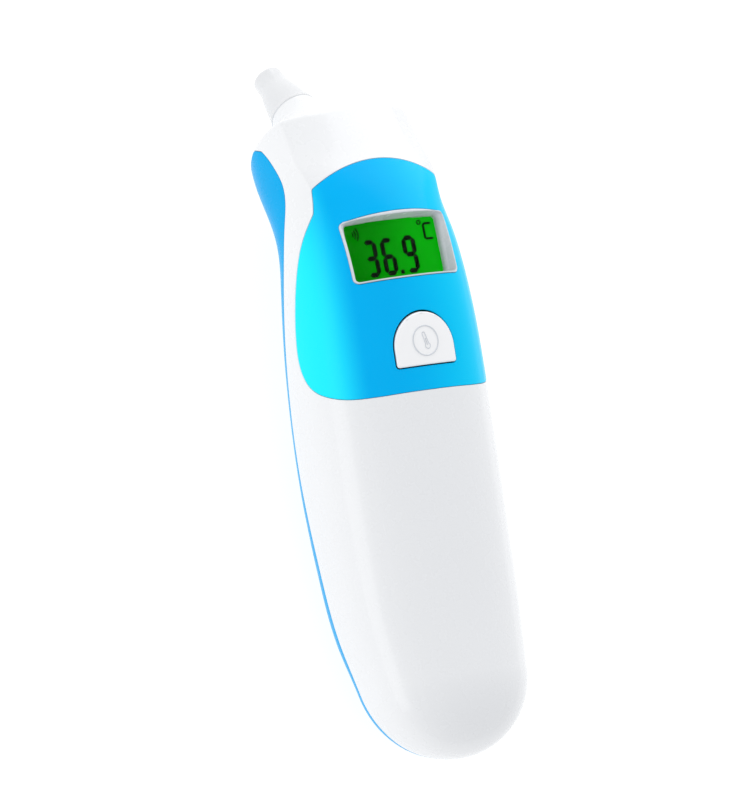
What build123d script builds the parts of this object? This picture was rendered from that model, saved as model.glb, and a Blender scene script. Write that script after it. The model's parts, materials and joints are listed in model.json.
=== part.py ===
from build123d import *
import math
import os

# Infrared ear thermometer, lying on its back: X across, Y from the handle's end to the head, Z up.
# It is designed with the display level, then tilted to rest on its handle and the probe's tip.

# ---- driving dimensions (mm) -------------------------------------------------------------------
WALL = 2.2                 # shell thickness
PANEL_THICK = 1.2          # blue front panel
SEAM = 0.15                # half gap between neighbouring mouldings
REST_TILT = 2.86           # degrees from display level to lying at rest

# Stations along the body: y, half width, front z, back z, level of greatest width
STATIONS = [
    (17.0, 19.2, 32.7, 5.0, 19.2),
    (28.0, 20.7, 33.0, 2.2, 18.0),
    (43.0, 21.7, 34.0, 1.0, 17.7),
    (61.0, 22.2, 35.5, 1.0, 18.4),
    (80.0, 22.1, 37.2, 2.8, 20.2),
    (93.0, 21.6, 38.2, 4.9, 21.8),
    (106.0, 20.5, 38.4, 7.8, 23.0),
    (113.0, 19.7, 37.7, 8.9, 23.0),
    (119.0, 19.0, 36.4, 7.7, 21.5),
    (124.0, 18.5, 34.9, 5.0, 20.0),
    (129.0, 18.1, 33.0, 2.6, 18.5),
    (135.0, 17.7, 30.7, 2.0, 17.0),
    (143.5, 17.2, 27.4, 4.5, 16.0),
]
END_LENGTH = 17.0          # rounded lower end, as far as the first station
END_LEVEL = 20.6           # z of the end's tip
END_CUTS = (0.25, 1.2, 3.2, 6.5, 11.0)
BODY_POWER = 2.3           # roundness of the cross-section
RIDGE_START = 112.0        # the crisp ridges beside the crown grow from here
RIDGE_FULL = 130.0
RIDGE_SHARE = 0.93         # ridge's place as a share of the half width at the head
CROWN_SAG = 4.8            # fall of the crown from its middle to the ridges

# Head: the curve that closes its top and back, seen from the side (y, z)
HEAD_TOP = (141.9, 28.2)
HEAD_MID = (138.0, 16.0)
HEAD_BACK = (126.5, 1.0)

# Probe: axis leaves the head upwards and backwards
PROBE_RING = (144.7, 6.0)  # (y, z) of the seam between head and probe
PROBE_ANGLE = 38.5         # degrees below the Y axis
PROBE_LENGTH = 12.2
NOSE_RADIUS = 3.4
NOSE_LENGTH = 3.4
RING_RADIUS = 5.2
FLARE_RADIUS = 11.5
FLARE_DEPTH = 11.0

# Display and button, seen from the front (display level z)
LCD_Y = 108.9
LCD_SIZE = (24.0, 12.4)
LCD_TOP = 33.6             # upper face of the clear window
BEZEL_SIZE = (27.0, 13.8)
BEZEL_BOW = 1.0
BUTTON_Y = 82.8            # flat lower edge of the button
BUTTON_R = 7.7
BUTTON_STRAIGHT = 4.0
BUTTON_GAP = 0.25
RING_Y = 88.0

# Battery bay in the handle
DOOR_X = 12.5
DOOR_TOP = 73.0             # the door reaches from here down round the end
CELL_R = 5.25
CELL_LENGTH = 44.5
CELL_X = 5.6
CELL_Z = 11.2
CELL_Y = 23.5              # lower end of the cells
NUB_LENGTH = 1.0
PLATE_T = 0.4
SPRING_HEIGHT = 1.1
SPRING_WIRE = 0.2
BOARD_Z = 25.0             # lower face of the main board
BOARD_T = 1.2


# ---- body surface ------------------------------------------------------------------------------
def smooth_step(value, low, high):
    share = min(max((value - low) / (high - low), 0.0), 1.0)
    return share * share * (3 - 2 * share)


def end_station(y):
    """A section of the rounded lower end, as a quarter of an ellipse in Y."""
    first = STATIONS[0]
    share = math.sqrt(1 - ((END_LENGTH - y) / END_LENGTH) ** 2)
    level = END_LEVEL + (first[4] - END_LEVEL) * y / END_LENGTH
    front = level + (first[2] - first[4]) * share
    back = level - (first[4] - first[3]) * share
    return (y, first[1] * share, front, back, level)


def section(station, inset=0.0):
    """Closed wire across the body: a front edge between the ridges and one edge round the back."""
    y, half, front, back, level = station
    half, front, back = half - inset, front - inset, back + inset
    ridge = smooth_step(y, RIDGE_START, RIDGE_FULL)
    edge_x = half * (0.72 + (RIDGE_SHARE - 0.72) * ridge)
    power = BODY_POWER

    def oval_z(x, height):
        return height * (1 - min(abs(x) / half, 1) ** power) ** (1 / power)

    def oval_x(z, height):
        return half * (1 - min(abs(z) / height, 1) ** power) ** (1 / power)

    height = front - level
    depth = level - back
    sag = (CROWN_SAG - 1.6 * (1 - smooth_step(y, 119, 138))) * (edge_x / 16.5) ** 2
    oval_edge = oval_z(edge_x, height)
    crown_edge = height - sag
    top = []
    for step in range(-4, 5):
        x = edge_x * step / 4
        oval = oval_z(x, height)
        crown = height - sag * (x / edge_x) ** 2
        top.append((x, y, level + oval + (crown - oval) * ridge))
    side = []
    for step in (3, 2, 1):
        share = step / 4
        oval = (oval_x(oval_edge * share, height), oval_edge * share)
        wall = (half - (half - edge_x) * share ** 2, crown_edge * share)
        side.append((oval[0] + (wall[0] - oval[0]) * ridge, oval[1] + (wall[1] - oval[1]) * ridge))
    right = [(x, y, level + z) for x, z in side]
    left = [(-x, y, z) for x, y, z in reversed(right)]
    lower = []
    for step in range(0, 13):
        angle = math.pi * step / 12
        x = half * math.copysign(abs(math.cos(angle)) ** (2 / power), math.cos(angle))
        lower.append((x, y, level - depth * abs(math.sin(angle)) ** (2 / power)))
    front_edge = Edge.make_spline([Vector(*p) for p in top])
    rear_edge = Edge.make_spline([Vector(*p) for p in [top[-1]] + right + lower + left + [top[0]]])
    return Wire([front_edge, rear_edge])


def body(inset=0.0):
    ends = [end_station(y + inset) for y in END_CUTS if y + inset > 0]
    return Solid.make_loft([section(row, inset) for row in ends + STATIONS])


def prism(outline, low, high):
    """Upright solid over a flat outline in XY."""
    return extrude(Pos(0, 0, low) * outline, high - low, dir=(0, 0, 1))


def side_prism(wire, half_width=40.0):
    """Solid across X over an outline drawn in the side view (YZ)."""
    return extrude(make_face(wire), half_width, dir=(1, 0, 0), both=True)


def side_points(points):
    return [Vector(0, y, z) for y, z in points]


def box(x0, x1, y0, y1, z0, z1):
    return Pos((x0 + x1) / 2, (y0 + y1) / 2, (z0 + z1) / 2) * Box(x1 - x0, y1 - y0, z1 - z0)


def rod(x, y, z0, z1, radius):
    return Pos(x, y, (z0 + z1) / 2) * Cylinder(radius, z1 - z0)


def head_region(inset=0.0):
    """All that lies below and before the curve closing the head, seen from the side."""
    top, mid, back = side_points([
        (HEAD_TOP[0] - inset, HEAD_TOP[1]),
        (HEAD_MID[0] - inset, HEAD_MID[1] + 0.3 * inset),
        (HEAD_BACK[0] - inset, HEAD_BACK[1] + inset),
    ])
    rest = side_points([(-20, -20), (-20, 60)])
    below = Vector(0, back.Y, -20)
    above = Vector(0, top.Y, 60)
    wire = Wire([
        Edge.make_three_point_arc(top, mid, back),
        Edge.make_line(back, below),
        Edge.make_line(below, rest[0]),
        Edge.make_line(rest[0], rest[1]),
        Edge.make_line(rest[1], above),
        Edge.make_line(above, top),
    ])
    return side_prism(wire)


def tilted(shape):
    """The shape as it lies at rest."""
    return Rot(REST_TILT, 0, 0) * shape


# ---- probe frame: origin at the ring, Z outwards along the probe ---------------------------------
PROBE_DIR = (0, math.cos(math.radians(PROBE_ANGLE)), -math.sin(math.radians(PROBE_ANGLE)))
PROBE_PLANE = Plane(origin=(0, PROBE_RING[0], PROBE_RING[1]), x_dir=(1, 0, 0), z_dir=PROBE_DIR)


def on_probe(shape):
    return PROBE_PLANE.location * shape


def turned(points):
    """Solid of revolution about the probe's axis from (radius, height) points."""
    outline = Polyline(*[(r, 0, z) for r, z in points], close=True)
    return revolve(make_face(outline), Axis.Z)


def flare_solid(inset=0.0):
    """The root of the probe, widening into the head on a concave curve."""
    base = RING_RADIUS + 0.15 - inset
    curve = Spline(
        (base, 0, 0.0),
        (base + 1.3, 0, -4.0),
        (base + 3.6, 0, -8.0),
        (FLARE_RADIUS - inset, 0, -FLARE_DEPTH),
    )
    outline = curve + Polyline(curve @ 1, (0, 0, -FLARE_DEPTH), (0, 0, 0), curve @ 0)
    return on_probe(revolve(make_face(outline), Axis.Z))


# ---- the whole body, its cavity and the seam between the shells ----------------------------------
BODY = (body() & head_region()) + flare_solid()
CAVITY = body(WALL) & head_region(WALL)
SPIGOT_BORE = on_probe(Pos(0, 0, -6.5) * Cylinder(4.4, 13.4))

SEAM_POINTS = [
    (-4.0, 17.7), (0.0, 17.2), (16.0, 14.6), (32.0, 12.8), (48.0, 12.3), (66.0, 12.2), (87.0, 14.6),
    (107.0, 19.1), (119.0, 22.4), (127.5, 22.8), (132.5, 19.8), (135.4, 15.0), (134.6, 8.0), (131.0, -4.0),
]


def rear_region(lift=0.0):
    """All that belongs to the rear shell: below the seam, seen from the side."""
    points = side_points([(y + lift, z + lift) for y, z in SEAM_POINTS])
    seam = Edge.make_spline(points)
    low_end = Vector(0, points[-1].Y, -20)
    low_start = Vector(0, points[0].Y, -20)
    wire = Wire([
        seam,
        Edge.make_line(points[-1], low_end),
        Edge.make_line(low_end, low_start),
        Edge.make_line(low_start, points[0]),
    ])
    return side_prism(wire)


# ---- outlines on the front ---------------------------------------------------------------------
def bezel_outline(grow=0.0):
    half_x = BEZEL_SIZE[0] / 2 + grow
    low = LCD_Y - BEZEL_SIZE[1] / 2 - grow
    high = LCD_Y + BEZEL_SIZE[1] / 2 + grow
    top = ThreePointArc((-half_x, high), (0, high + BEZEL_BOW), (half_x, high))
    rest = Polyline((half_x, high), (half_x, low), (-half_x, low), (-half_x, high))
    return fillet(make_face(top + rest).vertices(), 1.2 + grow)


def button_outline(grow=0.0):
    half_x = BUTTON_R + grow
    low = BUTTON_Y - grow
    spring = BUTTON_Y + BUTTON_STRAIGHT
    arch = ThreePointArc((half_x, spring), (0, spring + half_x), (-half_x, spring))
    rest = Polyline((-half_x, spring), (-half_x, low), (half_x, low), (half_x, spring))
    corners = make_face(arch + rest).vertices().sort_by(Axis.Y)[:2]
    return fillet(corners, 0.9)


def panel_region(grow=0.0):
    """The blue panel's outline: seen from the side, and its arched top seen from the front."""
    low_curve = Edge.make_spline(side_points([
        (77.6 - grow, 60.0), (77.6 - grow, 36.0), (79.2 - grow, 29.0), (82.2 - grow, 24.2 - grow),
        (87.5, 21.6 - grow), (94.0, 21.9 - grow), (102.0, 23.3 - grow), (114.0, 27.2 - grow),
        (124.2 + grow, 33.1 - grow), (133.0 + grow, 38.5 - grow),
    ]))
    start, end = low_curve @ 0, low_curve @ 1
    corner = Vector(0, end.Y, start.Z)
    side = side_prism(Wire([low_curve, Edge.make_line(end, corner), Edge.make_line(corner, start)]))
    arc = ThreePointArc((-16.4, 124.0 + grow), (0, 129.0 + grow), (16.4, 124.0 + grow))
    ends = Line(arc @ 1, (40, 113)) + Polyline((40, 113), (40, 60), (-40, 60), (-40, 113), arc @ 0)
    return side & prism(make_face(arc + ends), 0, 60)


# ---- mouldings -----------------------------------------------------------------------------------
BEZEL_HOLE = prism(bezel_outline(0.1), 31.4, 60)
BUTTON_HOLE = prism(button_outline(BUTTON_GAP), 30, 60)
DOOR_REGION = box(-DOOR_X, DOOR_X, -20, DOOR_TOP, -20, 18) & rear_region()
BOSS_PLACES = [(-10.0, 78.4), (10.0, 78.4)]
POST_PLACES = [(x, y) for y in (84.6, 122.0) for x in (-11.0, 11.0)]


def front_shell():
    shell = BODY - rear_region(0.12) - CAVITY - SPIGOT_BORE
    shell -= (BODY - body(PANEL_THICK + 0.05)) & panel_region(0.08)
    shell = shell - BEZEL_HOLE - BUTTON_HOLE
    room = body(WALL - 0.4) & head_region(WALL)
    for x, y in BOSS_PLACES:
        shell += room & (rod(x, y, 14.2, 40, 2.8) - rod(x, y, 14.2, 24, 0.95))
    for x, y in POST_PLACES:
        shell += room & (rod(x, y, BOARD_Z + BOARD_T, 40, 1.9) - rod(x, y, BOARD_Z, 30.6, 0.8))
    return shell


def rear_shell():
    shell = (BODY & rear_region()) - CAVITY - DOOR_REGION - SPIGOT_BORE
    for x, y in BOSS_PLACES:
        boss = rod(x, y, 0, 14.0, 3.3) & body(0.4)
        shell = (shell + boss) - rod(x, y, -5, 8.0, 2.2) - rod(x, y, 0, 15, 1.2)
    return shell


def battery_door():
    """Lower back of the handle with its end, flat where it lies; slides off downwards."""
    blank = box(-DOOR_X + SEAM, DOOR_X - SEAM, -20, DOOR_TOP - SEAM, -20, 18)
    door = (BODY & rear_region() & blank) - body(WALL)
    grips = [box(-7, 7, y, y + 1.1, -2, 1.55) for y in (55.0, 57.6, 60.2, 62.8)]
    for grip in grips:
        door -= grip
    tip = tilted(probe_cone()).bounding_box().min.Z
    ground = box(-40, 40, -40, 200, tip - 20, tip)
    return door - Rot(-REST_TILT, 0, 0) * ground


def front_panel():
    panel = (BODY & panel_region()) - body(PANEL_THICK)
    return panel - BEZEL_HOLE - BUTTON_HOLE


def display_bezel():
    """Frame with sloping inner walls down to the window, and a pocket for it underneath."""
    ring = prism(bezel_outline(), 32.4, 60) & body(-0.15)
    mouth_low = Pos(0, LCD_Y, LCD_TOP) * RectangleRounded(LCD_SIZE[0], LCD_SIZE[1], 0.8)
    mouth_high = Pos(0, LCD_Y + 0.2, LCD_TOP + 6) * RectangleRounded(LCD_SIZE[0] + 1.6, LCD_SIZE[1] + 1.2, 1.0)
    ring -= loft([mouth_low, mouth_high])
    return ring - box(-12.4, 12.4, LCD_Y - 6.55, LCD_Y + 6.55, 32, LCD_TOP)


def display_window():
    return box(-12.3, 12.3, LCD_Y - 6.45, LCD_Y + 6.45, LCD_TOP - 1.0, LCD_TOP - 0.02)


def lcd_glass():
    return box(-12.9, 12.9, LCD_Y - 7.4, LCD_Y + 6.9, 30.3, 32.2)


def lcd_frame():
    outer = box(-13.5, 13.5, LCD_Y - 8.1, LCD_Y + 7.6, BOARD_Z + BOARD_T, 30.8)
    return outer - box(-13.0, 13.0, LCD_Y - 7.5, LCD_Y + 7.0, BOARD_Z, 32)


def backlight_guide():
    return box(-12.8, 12.8, LCD_Y - 5.4, LCD_Y + 6.8, 28.0, 30.2)


def backlight_leds():
    return [box(x - 1.0, x + 1.0, LCD_Y + 1, LCD_Y + 3, BOARD_Z + BOARD_T, 27.2) for x in (-8.0, 0.0, 8.0)]


def elastomer_strip():
    return box(-11.5, 11.5, LCD_Y - 7.3, LCD_Y - 5.6, BOARD_Z + BOARD_T, 30.25)


# ---- seven-segment reading -----------------------------------------------------------------------
DIGIT = (3.1, 7.9)         # width and height
STROKE = 0.72
SEGMENTS = {3: "abcdg", 6: "acdefg", 9: "abcdfg"}


def segment_box(x, y, name):
    wide, tall = DIGIT
    half = tall / 2
    gap = 0.12
    across = (x + gap + STROKE / 2, x + wide - gap - STROKE / 2)
    rows = {"a": y + tall - STROKE, "g": y + half - STROKE / 2, "d": y}
    if name in rows:
        return (across[0], across[1], rows[name], rows[name] + STROKE)
    left = name in "ef"
    low = name in "ec"
    x0 = x if left else x + wide - STROKE
    y0 = y + STROKE / 2 + gap if low else y + half + gap
    return (x0, x0 + STROKE, y0, y0 + half - STROKE / 2 - 2 * gap)


def lcd_segments():
    """Black display marks: the reading 36.9 and a small degree C, each mark its own solid."""
    low, high = 32.22, 32.34
    marks = []
    for digit, x in ((3, -6.6), (6, -2.3), (9, 3.7)):
        for name in SEGMENTS[digit]:
            x0, x1, y0, y1 = segment_box(x, LCD_Y - 4.6, name)
            marks.append(box(x0, x1, y0, y1, low, high))
    marks.append(box(1.7, 2.5, LCD_Y - 4.6, LCD_Y - 3.8, low, high))
    cx, cy = 9.2, LCD_Y + 1.6
    marks.append(box(cx, cx + 0.5, cy, cy + 3.2, low, high))
    marks.append(box(cx + 0.6, cx + 2.2, cy, cy + 0.5, low, high))
    marks.append(box(cx + 0.6, cx + 2.2, cy + 2.7, cy + 3.2, low, high))
    ring = Cylinder(0.6, high - low) - Cylinder(0.3, high - low)
    marks.append(Pos(cx - 1.1, cy + 3.0, (low + high) / 2) * ring)
    return marks


# ---- board and switch ----------------------------------------------------------------------------
def main_board():
    board = box(-14.5, 14.5, 82.6, 125.0, BOARD_Z, BOARD_Z + BOARD_T)
    for x, y in POST_PLACES:
        board -= rod(x, y, BOARD_Z - 1, BOARD_Z + 3, 1.0)
    return board


def board_chips():
    low = BOARD_Z
    return [
        box(-5, 5, 103, 113, low - 1.6, low),
        box(-12, -8, 100, 105, low - 1.4, low),
        box(8, 13, 101, 104, low - 1.4, low),
        box(8.5, 12.5, 108, 113, low - 1.8, low),
        box(-11, -9.5, 109, 111, low - 0.8, low),
    ]


def board_screws():
    screws = []
    for x, y in POST_PLACES:
        screws.append(rod(x, y, 24.0, BOARD_Z, 1.6) + rod(x, y, 24.5, 30.0, 0.78))
    return screws


def buzzer():
    return rod(0, 92.5, 22.4, BOARD_Z, 6.0) - rod(0, 92.5, 22.0, 22.8, 1.0)


SWITCH_TOP = 30.0
PLUNGER_TOP = 31.2


def switch_body():
    base = box(-3, 3, RING_Y - 3, RING_Y + 3, BOARD_Z + BOARD_T, SWITCH_TOP)
    return base - rod(0, RING_Y, 27.4, SWITCH_TOP + 1, 1.75)


def switch_plunger():
    return rod(0, RING_Y, 28.2, PLUNGER_TOP, 1.65)


def measure_button():
    """Cap flush with the front, a retaining flange under the panel and a stem on the switch."""
    cap = prism(button_outline(), 33.6, 60) & body(-0.35)
    ring_groove = Pos(0, RING_Y, 39.0) * (Cylinder(3.3, 2.1) - Cylinder(3.05, 2.1))
    cap -= ring_groove & body(0)
    flange = prism(button_outline(0.9), 33.2, 34.2)
    return cap + flange + rod(0, RING_Y, PLUNGER_TOP + 0.02, 34, 1.6)


# ---- probe and sensor (in the probe's own frame) -------------------------------------------------
def probe_cone():
    nose = PROBE_LENGTH - NOSE_LENGTH
    outer = turned([
        (4.3, -5.0), (4.3, 0.0), (RING_RADIUS + 0.25, 0.0), (RING_RADIUS + 0.25, 0.5), (RING_RADIUS, 0.6),
        (NOSE_RADIUS, nose), (NOSE_RADIUS, PROBE_LENGTH), (2.65, PROBE_LENGTH), (2.65, 4.6), (3.6, 2.6),
        (3.6, -5.0),
    ])
    tip_edge = outer.edges().filter_by(GeomType.CIRCLE).sort_by(Axis.Z)[-2:]
    outer_rim = [edge for edge in tip_edge if edge.radius > 3]
    return on_probe(fillet(outer_rim, 0.65))


def probe_lens():
    return on_probe(Pos(0, 0, PROBE_LENGTH - 0.55) * Cylinder(2.6, 0.4))


def sensor_tube():
    return on_probe(turned([(1.8, 4.0), (2.55, 4.0), (2.55, 11.3), (1.8, 11.3)]))


def thermopile_can():
    return on_probe(turned([(0, 0.9), (3.0, 0.9), (3.0, 1.3), (2.5, 1.3), (2.5, 3.9), (0, 3.9)]))


def sensor_holder():
    return on_probe(turned([(2.6, 1.4), (3.5, 1.4), (3.5, 2.5), (2.6, 3.6)]))


def sensor_board():
    return on_probe(Pos(0, 0, 0.4) * Cylinder(3.3, 0.8))


def sensor_leads():
    """Four fine wires from the sensor's little board back to the main board."""
    start = PROBE_PLANE.location * Pos(0, 0, -0.05)
    origin = start.position
    leads = []
    for x in (-1.8, -0.6, 0.6, 1.8):
        points = [
            (x, origin.Y, origin.Z),
            (x, origin.Y - 7.0, origin.Z + 5.57),
            (x, 126.5, 20.0),
            (x, 123.0, BOARD_Z - 0.3),
        ]
        path = FilletPolyline(*points, radius=2.0)
        profile = Plane(origin=path @ 0, z_dir=path % 0) * Circle(0.25)
        leads.append(sweep(profile, path=path))
    return leads


# ---- battery bay ---------------------------------------------------------------------------------
def battery_tray():
    low, high = CELL_Y - 2.9, CELL_Y + CELL_LENGTH + 3.6
    tray = box(-11.6, 11.6, low, high, 16.5, 17.7)
    for y in (low, high - 1.2):
        tray += box(-11.6, 11.6, y, y + 1.2, 6.4, 16.5)
    tray += box(-0.3, 0.3, low + 1.9, high - 2.1, 14.6, 16.5)
    return tray & body(WALL + 0.3)


def cell(x, flipped):
    can = Cylinder(CELL_R, CELL_LENGTH - NUB_LENGTH)
    nub = Pos(0, 0, CELL_LENGTH / 2) * Cylinder(1.9, NUB_LENGTH)
    turn = 90 if flipped else -90
    return Pos(x, CELL_Y + CELL_LENGTH / 2, CELL_Z) * Rot(turn, 0, 0) * (can + nub)


def battery_cells():
    return [cell(-CELL_X, False), cell(CELL_X, True)]


CELL_END = CELL_Y + CELL_LENGTH
NUB_PLATES = [(CELL_X, CELL_Y - 0.95), (-CELL_X, CELL_END + 0.55)]
SPRING_PLATES = [(-CELL_X, CELL_Y - 1.65), (CELL_X, CELL_END + 1.95)]


def contact_plates():
    """A plate at each end of each cell, further back where a spring stands in front of it."""
    return [
        box(x - 3.6, x + 3.6, y, y + PLATE_T, CELL_Z - 3.3, CELL_Z + 3.6)
        for x, y in NUB_PLATES + SPRING_PLATES
    ]


def contact_springs():
    """Coil contacts at the negative ends."""
    springs = []
    for (x, y), turn in zip(SPRING_PLATES, (-90, 90)):
        path = Helix(pitch=SPRING_HEIGHT / 2, height=SPRING_HEIGHT, radius=2.4)
        profile = Plane(origin=path @ 0, z_dir=path % 0) * Circle(SPRING_WIRE)
        coil = sweep(profile, path=path, is_frenet=True)
        foot = y + PLATE_T + SPRING_WIRE + 0.05 if turn < 0 else y - SPRING_WIRE - 0.05
        springs.append(Pos(x, foot, CELL_Z) * Rot(turn, 0, 0) * coil)
    return springs


def housing_screws():
    screws = []
    for x, y in BOSS_PLACES:
        head = rod(x, y, 6.0, 8.0, 2.0) - box(x - 1.2, x + 1.2, y - 0.25, y + 0.25, 5.9, 6.8)
        head -= box(x - 0.25, x + 0.25, y - 1.2, y + 1.2, 5.9, 6.8)
        screws.append(head + rod(x, y, 7.9, 22.0, 0.9))
    return screws


# ---- write every piece, tilted to its resting pose -------------------------------------------------
PIECES = [
    front_shell, rear_shell, battery_door, front_panel, display_bezel, display_window, lcd_glass,
    lcd_frame, lcd_segments, backlight_guide, backlight_leds, elastomer_strip, main_board, board_chips,
    board_screws, buzzer, switch_body, switch_plunger, measure_button, probe_cone, probe_lens,
    sensor_tube, thermopile_can, sensor_holder, sensor_board, sensor_leads, battery_tray,
    battery_cells, contact_plates, contact_springs, housing_screws,
]


def as_part(made):
    return Compound(list(made)) if isinstance(made, list) else made


os.makedirs("parts", exist_ok=True)
made = {piece.__name__: tilted(as_part(piece())) for piece in PIECES}
whole = Compound(list(made.values())).bounding_box()
to_origin = Pos(-whole.center().X, -whole.center().Y, -whole.min.Z)
for name, shape in made.items():
    export_step(to_origin * shape, f"parts/{name}.step")
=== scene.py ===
import json
import math

import bpy
import numpy as np
from mathutils import Matrix, Vector
from mathutils.geometry import delaunay_2d_cdt


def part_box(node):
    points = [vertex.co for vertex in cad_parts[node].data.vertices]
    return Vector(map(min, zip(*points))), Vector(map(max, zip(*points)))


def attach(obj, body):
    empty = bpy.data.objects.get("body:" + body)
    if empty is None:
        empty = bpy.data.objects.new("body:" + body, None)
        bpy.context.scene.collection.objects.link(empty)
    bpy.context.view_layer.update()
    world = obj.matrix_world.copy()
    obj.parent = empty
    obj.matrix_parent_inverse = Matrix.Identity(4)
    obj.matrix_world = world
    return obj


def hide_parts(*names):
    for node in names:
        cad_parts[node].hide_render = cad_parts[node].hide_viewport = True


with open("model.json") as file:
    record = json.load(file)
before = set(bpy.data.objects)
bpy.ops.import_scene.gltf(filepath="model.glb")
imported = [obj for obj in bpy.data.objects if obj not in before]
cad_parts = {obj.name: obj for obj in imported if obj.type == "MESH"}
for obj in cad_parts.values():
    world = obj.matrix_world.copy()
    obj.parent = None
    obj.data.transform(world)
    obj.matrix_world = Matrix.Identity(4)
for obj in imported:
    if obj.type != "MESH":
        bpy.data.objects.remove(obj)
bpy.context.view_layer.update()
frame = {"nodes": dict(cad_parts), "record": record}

MM = 0.001
REST_TILT = math.radians(2.86)

# Stations along the body: y, half width, front z, back z, level of greatest width
STATIONS = np.array([
    (0.0, 18.4, 32.2, 6.6, 20.6),
    (17.0, 19.2, 32.7, 5.0, 19.2),
    (28.0, 20.7, 33.0, 2.2, 18.0),
    (43.0, 21.7, 34.0, 1.0, 17.7),
    (61.0, 22.2, 35.5, 1.0, 18.4),
    (80.0, 22.1, 37.2, 2.8, 20.2),
    (93.0, 21.6, 38.2, 4.9, 21.8),
    (106.0, 20.5, 38.4, 7.8, 23.0),
    (113.0, 19.7, 37.7, 8.9, 23.0),
    (119.0, 19.0, 36.4, 7.7, 21.5),
    (124.0, 18.5, 34.9, 5.0, 20.0),
    (129.0, 18.1, 33.0, 2.6, 18.5),
    (135.0, 17.7, 30.7, 2.0, 17.0),
    (143.5, 17.2, 27.4, 4.5, 16.0),
])
END_LENGTH = 17.0
BODY_POWER = 2.3
RIDGE_START, RIDGE_FULL, RIDGE_SHARE = 112.0, 130.0, 0.93
OVAL_SHARE = 0.72
CROWN_SAG, NECK_SAG_LESS, SAG_HALF = 4.8, 1.6, 16.5
SAG_START, SAG_FULL = 119.0, 138.0
HEAD_ARC = ((141.9, 28.2), (138.0, 16.0), (126.5, 1.0))
PROBE_RING = np.array([0.0, 144.7, 6.0])
PROBE_ANGLE = math.radians(38.5)
PROBE_DIR = np.array([0.0, math.cos(PROBE_ANGLE), -math.sin(PROBE_ANGLE)])
PROBE_FRONT = np.array([0.0, math.sin(PROBE_ANGLE), math.cos(PROBE_ANGLE)])
PROBE_LENGTH = 12.2
NOSE_RADIUS, NOSE_LENGTH = 3.4, 3.4
RING_RADIUS = 5.35
LCD_Y = 108.9
LCD_TOP = 33.6
BEZEL_HALF = (13.5, 6.9)
BEZEL_BOW = 1.0
BUTTON_Y, BUTTON_R, BUTTON_STRAIGHT = 82.8, 7.7, 4.0
BUTTON_PROUD, BUTTON_DEEP, BUTTON_GAP, BUTTON_ROUND = 0.35, 2.2, 0.3, 0.4
MARK_Y = 88.0
DOOR_X, DOOR_TOP = 12.42, 72.9
WALL, PANEL_THICK = 2.2, 1.2
PANEL_FOOT = 77.6
PANEL_TOP, PANEL_TOP_HALF, PANEL_TOP_RISE = 129.0, 16.4, 5.0
OUTLINE_STEP = 0.55
SEAM_POINTS = [
    (-4.0, 17.7), (0.0, 17.2), (16.0, 14.6), (32.0, 12.8), (48.0, 12.3), (66.0, 12.2), (87.0, 14.6),
    (107.0, 19.1), (119.0, 22.4), (127.5, 22.8), (132.5, 19.8),
]

# The skin's own coordinates: u runs from the lower end to the probe, v from the front's middle
# line (0) over the ridge and the widest level to the back's middle line.
RIDGE_V, SIDE_V, BACK_V = 17.0, 32.0, 62.0
HEAD_U, RIM_U, RING_U = 120.0, 142.0, 168.0


# ---- placing
def turned(points):
    """Design directions to the resting pose."""
    points = np.atleast_2d(np.asarray(points, float))
    c, s = math.cos(REST_TILT), math.sin(REST_TILT)
    x, y, z = points.T
    return np.column_stack([x, y * c - z * s, y * s + z * c])


switch_low, switch_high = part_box("switch_body")
SHIFT = (np.array(switch_low) + np.array(switch_high)) / 2 - turned([0.0, 88.0, 28.1])[0] * MM


def to_row(points):
    """Design points (mm) to the resting pose in metres, pressed flat where the back meets the floor."""
    placed = turned(points) * MM + SHIFT
    placed[:, 2] = np.maximum(placed[:, 2], 0.0)
    return placed


# ---- the body's surface
def spline(xs, ys):
    """Natural cubic curve through the given points, as a function."""
    xs, ys = np.asarray(xs, float), np.asarray(ys, float)
    n, h = len(xs), np.diff(xs)
    system, right = np.eye(n), np.zeros(n)
    for i in range(1, n - 1):
        system[i, i - 1:i + 2] = h[i - 1], 2 * (h[i - 1] + h[i]), h[i]
        right[i] = 6 * ((ys[i + 1] - ys[i]) / h[i] - (ys[i] - ys[i - 1]) / h[i - 1])
    bend = np.linalg.solve(system, right)

    def value(x):
        x = np.asarray(x, float)
        k = np.clip(np.searchsorted(xs, x) - 1, 0, n - 2)
        a, b = (xs[k + 1] - x) / h[k], (x - xs[k]) / h[k]
        curve = (a ** 3 - a) * bend[k] + (b ** 3 - b) * bend[k + 1]
        return a * ys[k] + b * ys[k + 1] + curve * h[k] ** 2 / 6

    return value


half_at, front_at, back_at, level_at = (spline(STATIONS[:, 0], STATIONS[:, i]) for i in range(1, 5))


def smooth_step(value, low, high):
    share = np.clip((value - low) / (high - low), 0, 1)
    return share * share * (3 - 2 * share)


def section_sizes(y, inset):
    cap = np.sqrt(1 - np.clip((END_LENGTH - (y - inset)) / END_LENGTH, 0, 1) ** 2)
    level = level_at(y)
    half = (half_at(y) - inset) * cap
    height = (front_at(y) - level - inset) * cap
    depth = (level - back_at(y) - inset) * cap
    ridge = smooth_step(y, RIDGE_START, RIDGE_FULL)
    share = OVAL_SHARE + (RIDGE_SHARE - OVAL_SHARE) * ridge
    return level, half, height, depth, ridge, share


def crown_sag(y, edge_x):
    """How far the front falls from its middle to the ridge at edge_x."""
    neck = 1 - smooth_step(y, SAG_START, SAG_FULL)
    return (CROWN_SAG - NECK_SAG_LESS * neck) * (edge_x / SAG_HALF) ** 2


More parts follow.
